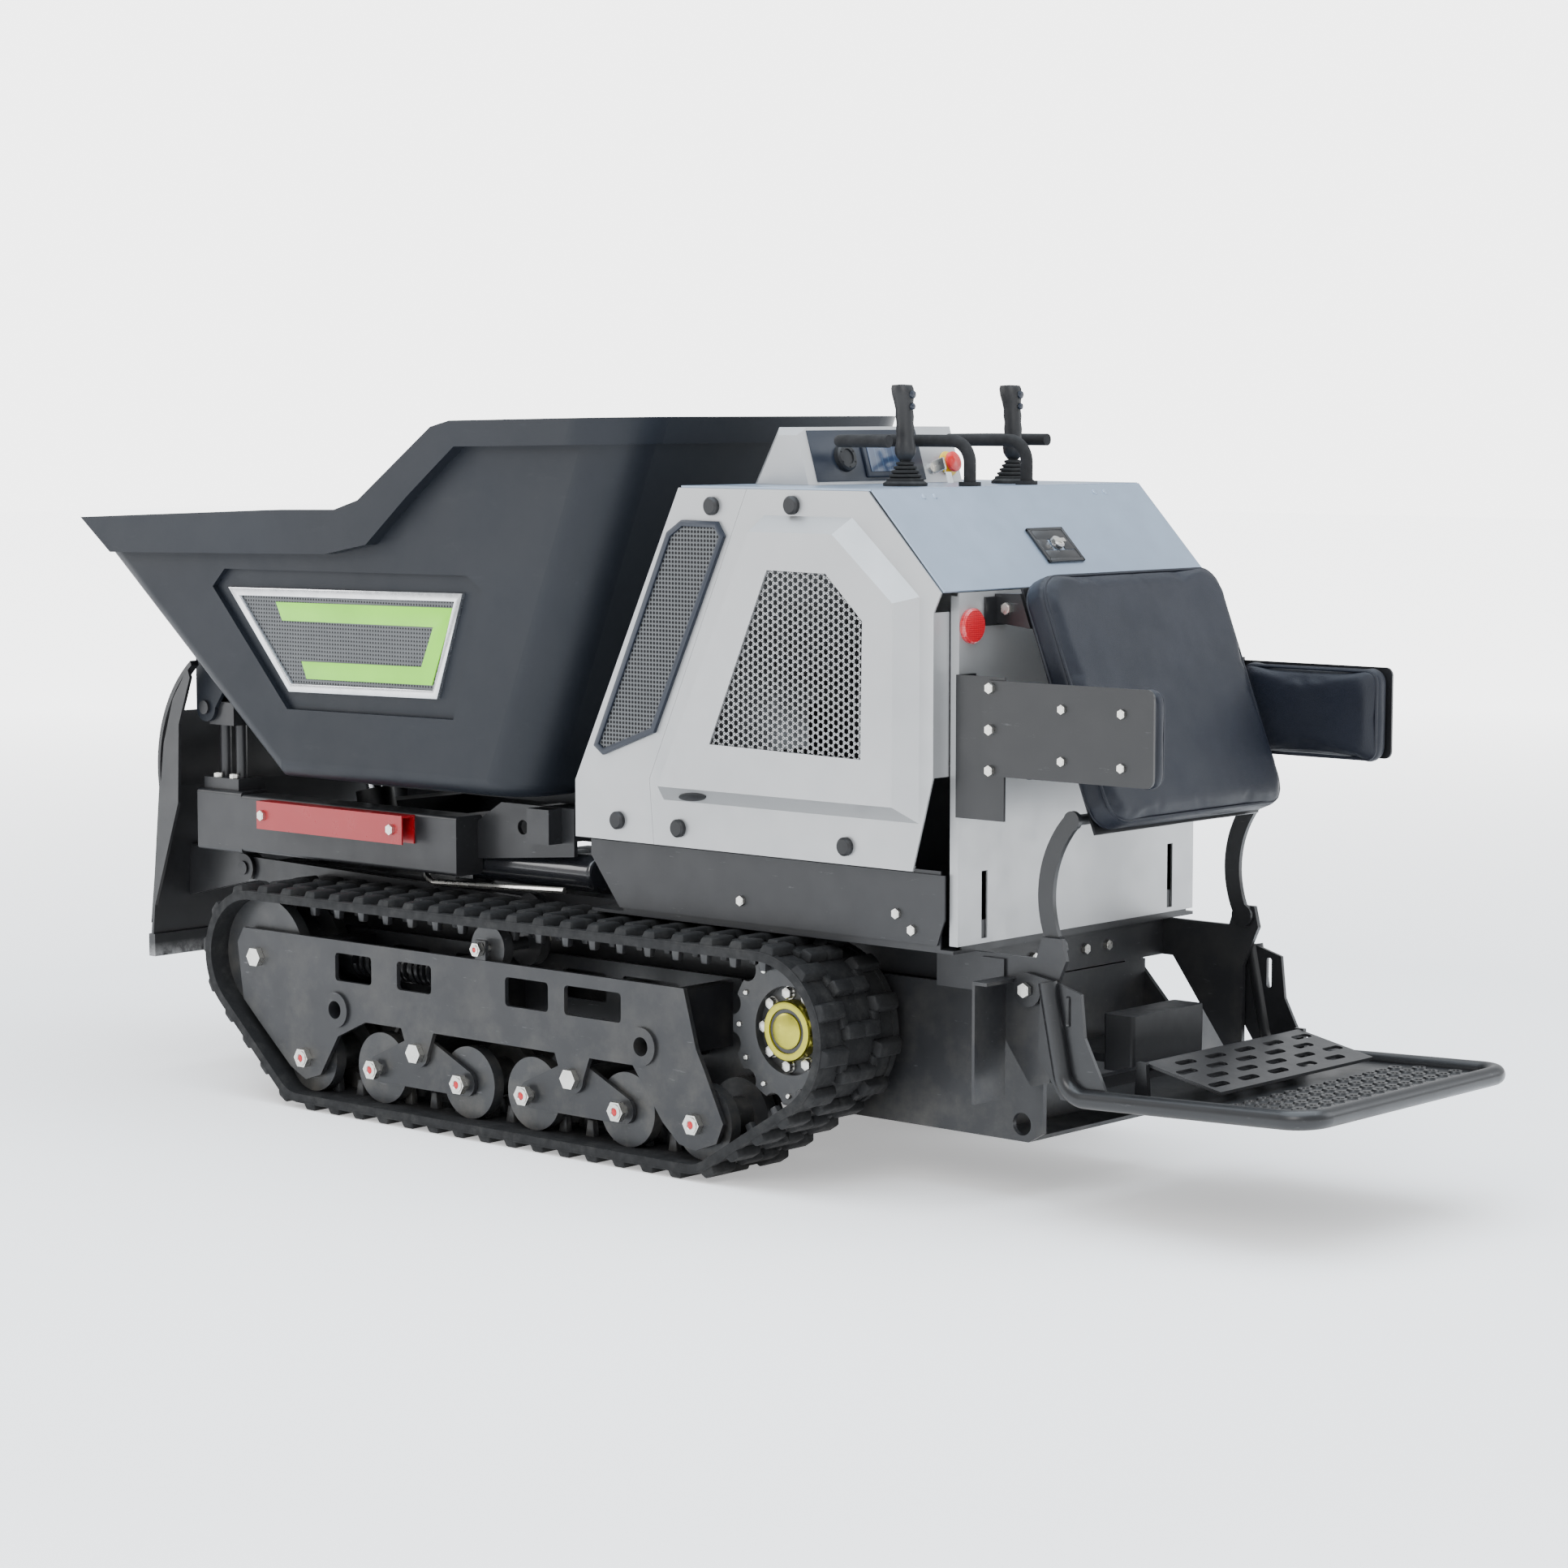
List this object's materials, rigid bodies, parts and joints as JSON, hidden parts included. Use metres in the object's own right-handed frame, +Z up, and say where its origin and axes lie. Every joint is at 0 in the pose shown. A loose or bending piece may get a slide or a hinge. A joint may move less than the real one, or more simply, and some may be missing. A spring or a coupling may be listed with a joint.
{
  "type": "tracked mini dumper",
  "caption": "Stand-on electric tracked mini dumper with a tipping black skip, loading shovel, rubber tracks and a fold-up operator platform.",
  "frame": {"origin": "on the ground under the middle of the overall length, on the centre plane", "axes": "+X forward towards the skip's lip, +Y to the operator's left, +Z up"},
  "size_m": [2.551, 0.8, 1.212],
  "materials": {
    "skip_black": "matt, fine moulded texture",
    "paint_silver": "satin silver-grey powder coat",
    "lid_silver": "satin bluish silver paint",
    "paint_charcoal": "satin charcoal paint",
    "paint_black": "satin black paint",
    "paint_red": "gloss red paint",
    "track_rubber": "matt, slightly dusty",
    "wheel_iron": "painted casting, matt",
    "rod_chrome": "polished",
    "zinc_steel": "zinc plated",
    "leatherette": "grained leatherette",
    "foam_black": "closed-cell foam sleeve",
    "trim_black": "moulded",
    "stop_red": "gloss",
    "reflector_red": "prismatic lens",
    "pump_grey": "gloss grey paint"
  },
  "bodies": {
    "machine": {"axles_and_bolts": "zinc_steel", "backrest_frame": "paint_black", "backrest_pad": "leatherette", "battery_and_controls": "trim_black", "bogie_beams": "paint_charcoal", "chassis_frame": "paint_charcoal", "console": "paint_silver", "cover_knobs": "trim_black", "deck_panel": "paint_silver", "front_panel": "paint_silver", "hand_loops": "foam_black", "hip_pads": "leatherette", "hip_rails": "paint_black", "load_subframe": "paint_charcoal", "lower_skirts": "paint_charcoal", "motors_and_pump": "pump_grey", "rear_panel": "paint_silver", "reflectors": "reflector_red", "safety_bar": "paint_red", "side_cover_left": "paint_silver", "side_cover_right": "paint_silver", "side_grilles": "paint_black", "track_belt_left": "track_rubber", "track_belt_right": "track_rubber", "track_frame_left": "paint_charcoal", "track_frame_right": "paint_charcoal", "track_tensioners": "paint_black"},
    "skip": {"skip": "skip_black"},
    "tip_barrel": {"tip_cylinder_barrel": "paint_black"},
    "tip_rod": {"tip_cylinder_rod": "rod_chrome"},
    "lift_arms": {"lift_arms": "paint_charcoal"},
    "lift_barrel": {"lift_cylinder_barrel": "paint_black"},
    "lift_rod": {"lift_cylinder_rod": "rod_chrome"},
    "shovel": {"shovel": "paint_black"},
    "service_lid": {"service_lid": "lid_silver"},
    "lid_latch": {"lid_latch": "zinc_steel"},
    "key_switch": {"key_switch": "zinc_steel"},
    "stop_button": {"stop_button": "stop_red"},
    "joystick_left": {"joystick_left": "trim_black"},
    "joystick_right": {"joystick_right": "trim_black"},
    "platform": {"platform": "paint_black"},
    "pedal": {"pedal_plate": "paint_black"},
    "sprocket_left": {"drive_sprocket_left": "wheel_iron"},
    "front_idler_left": {"front_idler_left": "wheel_iron"},
    "carrier_roller_left": {"carrier_roller_left": "wheel_iron"},
    "track_roller_1_left": {"track_roller_1_left": "wheel_iron"},
    "track_roller_2_left": {"track_roller_2_left": "wheel_iron"},
    "track_roller_3_left": {"track_roller_3_left": "wheel_iron"},
    "track_roller_4_left": {"track_roller_4_left": "wheel_iron"},
    "track_roller_5_left": {"track_roller_5_left": "wheel_iron"},
    "track_roller_6_left": {"track_roller_6_left": "wheel_iron"},
    "sprocket_right": {"drive_sprocket_right": "wheel_iron"},
    "front_idler_right": {"front_idler_right": "wheel_iron"},
    "carrier_roller_right": {"carrier_roller_right": "wheel_iron"},
    "track_roller_1_right": {"track_roller_1_right": "wheel_iron"},
    "track_roller_2_right": {"track_roller_2_right": "wheel_iron"},
    "track_roller_3_right": {"track_roller_3_right": "wheel_iron"},
    "track_roller_4_right": {"track_roller_4_right": "wheel_iron"},
    "track_roller_5_right": {"track_roller_5_right": "wheel_iron"},
    "track_roller_6_right": {"track_roller_6_right": "wheel_iron"}
  },
  "joints": [
    {"name": "skip_tip", "type": "hinge", "parent": "machine", "child": "skip", "pos_m": [1.0465, 0, 0.65], "axis": [0, 1, 0], "range_deg": [0, 60]},
    {"name": "tip_barrel_lean", "type": "hinge", "parent": "machine", "child": "tip_barrel", "pos_m": [0.7665, 0.07, 0.245], "axis": [0, 1, 0], "range_deg": [-2.86, 0]},
    {"name": "tip_rod_slide", "type": "slide", "parent": "tip_barrel", "child": "tip_rod", "axis": [0.2425, 0, 0.9701], "range_m": [0, 0.2185]},
    {"name": "arms_lower", "type": "hinge", "parent": "machine", "child": "lift_arms", "pos_m": [0.2965, 0, 0.355], "axis": [0, 1, 0], "range_deg": [0, 10]},
    {"name": "lift_barrel_lean", "type": "hinge", "parent": "machine", "child": "lift_barrel", "pos_m": [0.6465, -0.07, 0.15], "axis": [0, 1, 0], "range_deg": [0, 18.48]},
    {"name": "lift_rod_slide", "type": "slide", "parent": "lift_barrel", "child": "lift_rod", "axis": [0.8562, 0, 0.5167], "range_m": [-0.0567, 0]},
    {"name": "shovel_tilt", "type": "hinge", "parent": "lift_arms", "child": "shovel", "pos_m": [1.0065, 0, 0.365], "axis": [0, 1, 0], "range_deg": [0, 20]},
    {"name": "lid_hinge", "type": "hinge", "parent": "machine", "child": "service_lid", "pos_m": [-0.534, 0, 1.055], "axis": [0, 1, 0], "range_deg": [0, 95]},
    {"name": "latch_turn", "type": "hinge", "parent": "service_lid", "child": "lid_latch", "pos_m": [-0.61809, 0, 0.96661], "axis": [-0.7245, 0, 0.6893], "range_deg": [0, 90]},
    {"name": "key_turn", "type": "hinge", "parent": "machine", "child": "key_switch", "pos_m": [-0.29151, -0.105, 1.079], "axis": [-0.9557, 0, 0.2942], "range_deg": [0, 90]},
    {"name": "stop_press", "type": "slide", "parent": "machine", "child": "stop_button", "axis": [0.9557, 0, -0.2942], "range_m": [0, 0.004], "stiffness_N_per_m": 400, "springref_m": -0.004},
    {"name": "joystick_left_tilt", "type": "hinge", "parent": "machine", "child": "joystick_left", "pos_m": [-0.434, 0.1315, 1.042], "axis": [0, 1, 0], "range_deg": [-18, 18], "stiffness_Nm_per_rad": 3},
    {"name": "joystick_right_tilt", "type": "hinge", "parent": "machine", "child": "joystick_right", "pos_m": [-0.434, -0.1315, 1.042], "axis": [0, 1, 0], "range_deg": [-18, 18], "stiffness_Nm_per_rad": 3},
    {"name": "platform_fold", "type": "hinge", "parent": "machine", "child": "platform", "pos_m": [-0.77, 0, 0.334], "axis": [0, 1, 0], "range_deg": [0, 62]},
    {"name": "pedal_press", "type": "hinge", "parent": "platform", "child": "pedal", "pos_m": [-0.9385, 0, 0.232], "axis": [0, 1, 0], "range_deg": [-4, 0], "stiffness_Nm_per_rad": 10, "springref_deg": 20.05},
    {"name": "sprocket_left_spin", "type": "hinge", "parent": "machine", "child": "sprocket_left", "pos_m": [-0.3695, 0.31, 0.238], "axis": [0, 1, 0], "continuous": true},
    {"name": "front_idler_left_spin", "type": "hinge", "parent": "machine", "child": "front_idler_left", "pos_m": [0.788, 0.31, 0.245], "axis": [0, 1, 0], "continuous": true},
    {"name": "carrier_roller_left_spin", "type": "hinge", "parent": "machine", "child": "carrier_roller_left", "pos_m": [0.244, 0.31, 0.30974], "axis": [0, 1, 0], "continuous": true},
    {"name": "track_roller_1_left_spin", "type": "hinge", "parent": "machine", "child": "track_roller_1_left", "pos_m": [0.669, 0.31, 0.0853], "axis": [0, 1, 0], "continuous": true},
    {"name": "track_roller_2_left_spin", "type": "hinge", "parent": "machine", "child": "track_roller_2_left", "pos_m": [0.4965, 0.31, 0.0853], "axis": [0, 1, 0], "continuous": true},
    {"name": "track_roller_3_left_spin", "type": "hinge", "parent": "machine", "child": "track_roller_3_left", "pos_m": [0.2895, 0.31, 0.0853], "axis": [0, 1, 0], "continuous": true},
    {"name": "track_roller_4_left_spin", "type": "hinge", "parent": "machine", "child": "track_roller_4_left", "pos_m": [0.1405, 0.31, 0.0853], "axis": [0, 1, 0], "continuous": true},
    {"name": "track_roller_5_left_spin", "type": "hinge", "parent": "machine", "child": "track_roller_5_left", "pos_m": [-0.0665, 0.31, 0.0853], "axis": [0, 1, 0], "continuous": true},
    {"name": "track_roller_6_left_spin", "type": "hinge", "parent": "machine", "child": "track_roller_6_left", "pos_m": [-0.228, 0.31, 0.0853], "axis": [0, 1, 0], "continuous": true},
    {"name": "sprocket_right_spin", "type": "hinge", "parent": "machine", "child": "sprocket_right", "pos_m": [-0.3695, -0.31, 0.238], "axis": [0, 1, 0], "continuous": true},
    {"name": "front_idler_right_spin", "type": "hinge", "parent": "machine", "child": "front_idler_right", "pos_m": [0.788, -0.31, 0.245], "axis": [0, 1, 0], "continuous": true},
    {"name": "carrier_roller_right_spin", "type": "hinge", "parent": "machine", "child": "carrier_roller_right", "pos_m": [0.244, -0.31, 0.30974], "axis": [0, 1, 0], "continuous": true},
    {"name": "track_roller_1_right_spin", "type": "hinge", "parent": "machine", "child": "track_roller_1_right", "pos_m": [0.669, -0.31, 0.0853], "axis": [0, 1, 0], "continuous": true},
    {"name": "track_roller_2_right_spin", "type": "hinge", "parent": "machine", "child": "track_roller_2_right", "pos_m": [0.4965, -0.31, 0.0853], "axis": [0, 1, 0], "continuous": true},
    {"name": "track_roller_3_right_spin", "type": "hinge", "parent": "machine", "child": "track_roller_3_right", "pos_m": [0.2895, -0.31, 0.0853], "axis": [0, 1, 0], "continuous": true},
    {"name": "track_roller_4_right_spin", "type": "hinge", "parent": "machine", "child": "track_roller_4_right", "pos_m": [0.1405, -0.31, 0.0853], "axis": [0, 1, 0], "continuous": true},
    {"name": "track_roller_5_right_spin", "type": "hinge", "parent": "machine", "child": "track_roller_5_right", "pos_m": [-0.0665, -0.31, 0.0853], "axis": [0, 1, 0], "continuous": true},
    {"name": "track_roller_6_right_spin", "type": "hinge", "parent": "machine", "child": "track_roller_6_right", "pos_m": [-0.228, -0.31, 0.0853], "axis": [0, 1, 0], "continuous": true}
  ],
  "couplings": [
    {"joint": "tip_barrel_lean", "follows": "skip_tip", "ratio": -0.04673},
    {"joint": "tip_rod_slide", "follows": "skip_tip", "m_per_rad": 0.20657},
    {"joint": "lift_barrel_lean", "follows": "arms_lower", "ratio": 1.8114},
    {"joint": "lift_rod_slide", "follows": "arms_lower", "m_per_rad": -0.32182},
    {"joint": "front_idler_left_spin", "follows": "sprocket_left_spin", "ratio": 1.1575},
    {"joint": "carrier_roller_left_spin", "follows": "sprocket_left_spin", "ratio": 3.0155},
    {"joint": "track_roller_1_left_spin", "follows": "sprocket_left_spin", "ratio": 1.9422},
    {"joint": "track_roller_2_left_spin", "follows": "sprocket_left_spin", "ratio": 1.9422},
    {"joint": "track_roller_3_left_spin", "follows": "sprocket_left_spin", "ratio": 1.9422},
    {"joint": "track_roller_4_left_spin", "follows": "sprocket_left_spin", "ratio": 1.9422},
    {"joint": "track_roller_5_left_spin", "follows": "sprocket_left_spin", "ratio": 1.9422},
    {"joint": "track_roller_6_left_spin", "follows": "sprocket_left_spin", "ratio": 1.9422},
    {"joint": "front_idler_right_spin", "follows": "sprocket_right_spin", "ratio": 1.1575},
    {"joint": "carrier_roller_right_spin", "follows": "sprocket_right_spin", "ratio": 3.0155},
    {"joint": "track_roller_1_right_spin", "follows": "sprocket_right_spin", "ratio": 1.9422},
    {"joint": "track_roller_2_right_spin", "follows": "sprocket_right_spin", "ratio": 1.9422},
    {"joint": "track_roller_3_right_spin", "follows": "sprocket_right_spin", "ratio": 1.9422},
    {"joint": "track_roller_4_right_spin", "follows": "sprocket_right_spin", "ratio": 1.9422},
    {"joint": "track_roller_5_right_spin", "follows": "sprocket_right_spin", "ratio": 1.9422},
    {"joint": "track_roller_6_right_spin", "follows": "sprocket_right_spin", "ratio": 1.9422}
  ]
}
